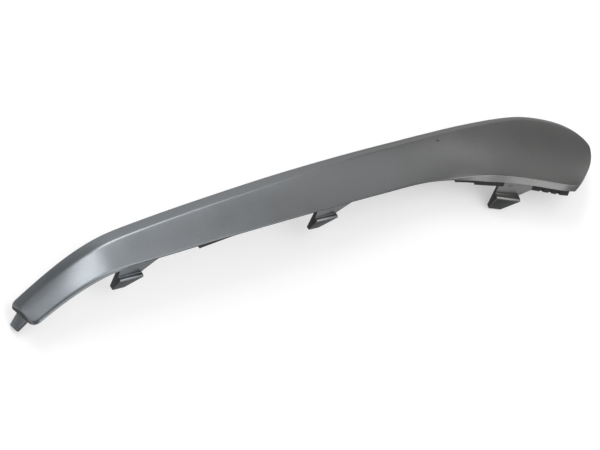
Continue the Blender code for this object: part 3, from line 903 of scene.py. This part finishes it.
def paint_way(n, place):
    """Surface direction with soft moulded edges, faint orange peel and the grain of flakes."""
    soft = n.add("ShaderNodeBevel", {"Radius": PAINT_EDGE}, samples=PAINT_EDGE_SAMPLES)
    peel_noise = n.noise(place, PEEL_SCALE, 1.0)
    peel = n.bump(peel_noise, PEEL_STRENGTH, PEEL_DEPTH, soft.outputs["Normal"])
    return n.bump(n.noise(place, GRAIN_SCALE, 0.0), GRAIN_STRENGTH, GRAIN_DEPTH, peel)


def satin_paint(name, coat, gloss, **spray):
    """Satin silver metallic paint sprayed from one side, over a dark moulded plastic that, where
    bare, is partly painted shade.
    """
    material = bpy.data.materials.new(name)
    n = Nodes(material)
    coords = n.add("ShaderNodeTexCoord")
    place = coords.outputs["Object"]
    cover_and_shade = paint_cover(n, coords, **spray)
    cloud = n.noise(place, CLOUD_SCALE, CLOUD_DETAIL)
    bare_and_shade = n.mix(n.spread(cloud, 0.0, 1.0), BARE_DARK, BARE_LIGHT)
    colour = n.mix(cover_and_shade, bare_and_shade, silver_colour(n, place, cloud))
    satin = n.spread(n.noise(place, SATIN_SCALE, SATIN_DETAIL), *SATIN_ROUGHNESS)
    shader = n.add(
        "ShaderNodeBsdfPrincipled",
        {
            "Base Color": nicked(n, place, colour),
            "Metallic": n.maths("MULTIPLY", cover_and_shade, PAINT_METAL),
            "Roughness": n.mix(cover_and_shade, BARE_ROUGHNESS, satin),
            "Coat Weight": coat,
            "Coat Roughness": COAT_ROUGHNESS,
            "Specular IOR Level": gloss,
            "Specular Tint": PAINT_TINT,
            "Normal": paint_way(n, place),
        },
    )
    n.surface(shader.outputs["BSDF"])
    return material


def bare_plastic():
    """Dark moulded plastic with a fine grain and a trace of overspray in soft patches."""
    material = bpy.data.materials.new("dark_moulded_plastic")
    n = Nodes(material)
    place = n.add("ShaderNodeTexCoord").outputs["Object"]
    patches = n.spread(n.noise(place, PATCH_SCALE, PATCH_DETAIL), 0.0, 1.0)
    dull = n.noise(place, PLASTIC_DULL_SCALE, PLASTIC_DULL_DETAIL)
    grain = n.noise(place, PLASTIC_GRAIN_SCALE)
    shader = n.add(
        "ShaderNodeBsdfPrincipled",
        {
            "Base Color": n.mix(patches, PLASTIC_DARK, PLASTIC_LIGHT),
            "Roughness": n.spread(dull, *PLASTIC_ROUGHNESS),
            "Specular IOR Level": PLASTIC_GLOSS,
            "Normal": n.bump(grain, PLASTIC_GRAIN_STRENGTH, PLASTIC_GRAIN_DEPTH),
        },
    )
    n.surface(shader.outputs["BSDF"])
    return material


def pale_floor():
    """Pale floor that keeps the shadow and looks white to the camera and in reflections."""
    material = bpy.data.materials.new("pale_floor")
    n = Nodes(material)
    path = n.add("ShaderNodeLightPath")
    seen = n.maths("MAXIMUM", path.outputs["Is Camera Ray"], path.outputs["Is Glossy Ray"])
    seen = n.maths("MAXIMUM", seen, path.outputs["Is Transmission Ray"])
    strength = n.maths("MULTIPLY", seen, FLOOR_GLOW)
    plain = n.add("ShaderNodeBsdfDiffuse", {"Color": FLOOR_GREY})
    glow = n.add("ShaderNodeEmission", {"Color": WHITE, "Strength": strength})
    both = n.add("ShaderNodeAddShader", {0: plain.outputs["BSDF"], 1: glow.outputs["Emission"]})
    n.surface(both.outputs["Shader"])
    return material


def floor():
    """Square floor under the trim, far larger than the view."""
    mesh = bpy.data.meshes.new("studio_floor")
    turns = ((-1.0, -1.0), (1.0, -1.0), (1.0, 1.0), (-1.0, 1.0))
    corners = [(FLOOR_REACH * x, FLOOR_REACH * y, 0.0) for x, y in turns]
    mesh.from_pydata(corners, [], [(0, 1, 2, 3)])
    obj = bpy.data.objects.new("studio_floor", mesh)
    bpy.context.scene.collection.objects.link(obj)
    mesh.materials.append(pale_floor())


def softbox(name, azimuth, height_angle, width, height, brightness):
    """Area lamp that faces the trim from a direction in degrees, with the radiance it shows."""
    light = bpy.data.lights.new(name, "AREA")
    light.shape = "RECTANGLE"
    light.size = width
    light.size_y = height
    light.energy = brightness * math.pi * width * height
    turn, rise = math.radians(azimuth), math.radians(height_angle)
    level = math.cos(rise)
    back = Vector((level * math.cos(turn), level * math.sin(turn), math.sin(rise)))
    obj = bpy.data.objects.new(name, light)
    obj.location = back * LAMP_DISTANCE
    obj.rotation_euler = back.to_track_quat("Z", "Y").to_euler()
    bpy.context.scene.collection.objects.link(obj)


def lights():
    """All the softboxes, and an even grey world around them."""
    for softbox_sizes in SOFTBOXES:
        softbox(*softbox_sizes)
    world = bpy.data.worlds.new("studio")
    world.use_nodes = True
    background = world.node_tree.nodes["Background"]
    background.inputs["Color"].default_value = WORLD_GREY
    background.inputs["Strength"].default_value = 1.0
    bpy.context.scene.world = world


def camera():
    """Camera at the photograph's viewing angle."""
    right = Vector(CAMERA_RIGHT).normalized()
    back = Vector(CAMERA_BACK).normalized()
    up = back.cross(right).normalized()
    right = up.cross(back)
    data = bpy.data.cameras.new("camera")
    data.lens = LENS
    data.clip_start = CLIP_START
    obj = bpy.data.objects.new("camera", data)
    turn = Matrix((right, up, back)).transposed()
    obj.matrix_world = Matrix.Translation(Vector(CAMERA_PLACE)) @ turn.to_4x4()
    bpy.context.scene.collection.objects.link(obj)
    bpy.context.scene.camera = obj


def trim():
    """The trim as it lies, kept inside the solid's box, in place of the solid."""
    obj = moulded()
    obj.data.transform(rest_matrix())
    places = np.empty(3 * len(obj.data.vertices))
    obj.data.vertices.foreach_get("co", places)
    inside = np.clip(places.reshape(-1, 3), CAD_BOX[0], CAD_BOX[1])
    obj.data.vertices.foreach_set("co", inside.ravel())
    obj.data.shade_smooth()
    obj.data.set_sharp_from_angle(angle=SHARP_EDGE)
    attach(obj, "root")
    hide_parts(NODE)


trim()
floor()
lights()
camera()
bpy.context.scene.view_settings.view_transform = "Standard"
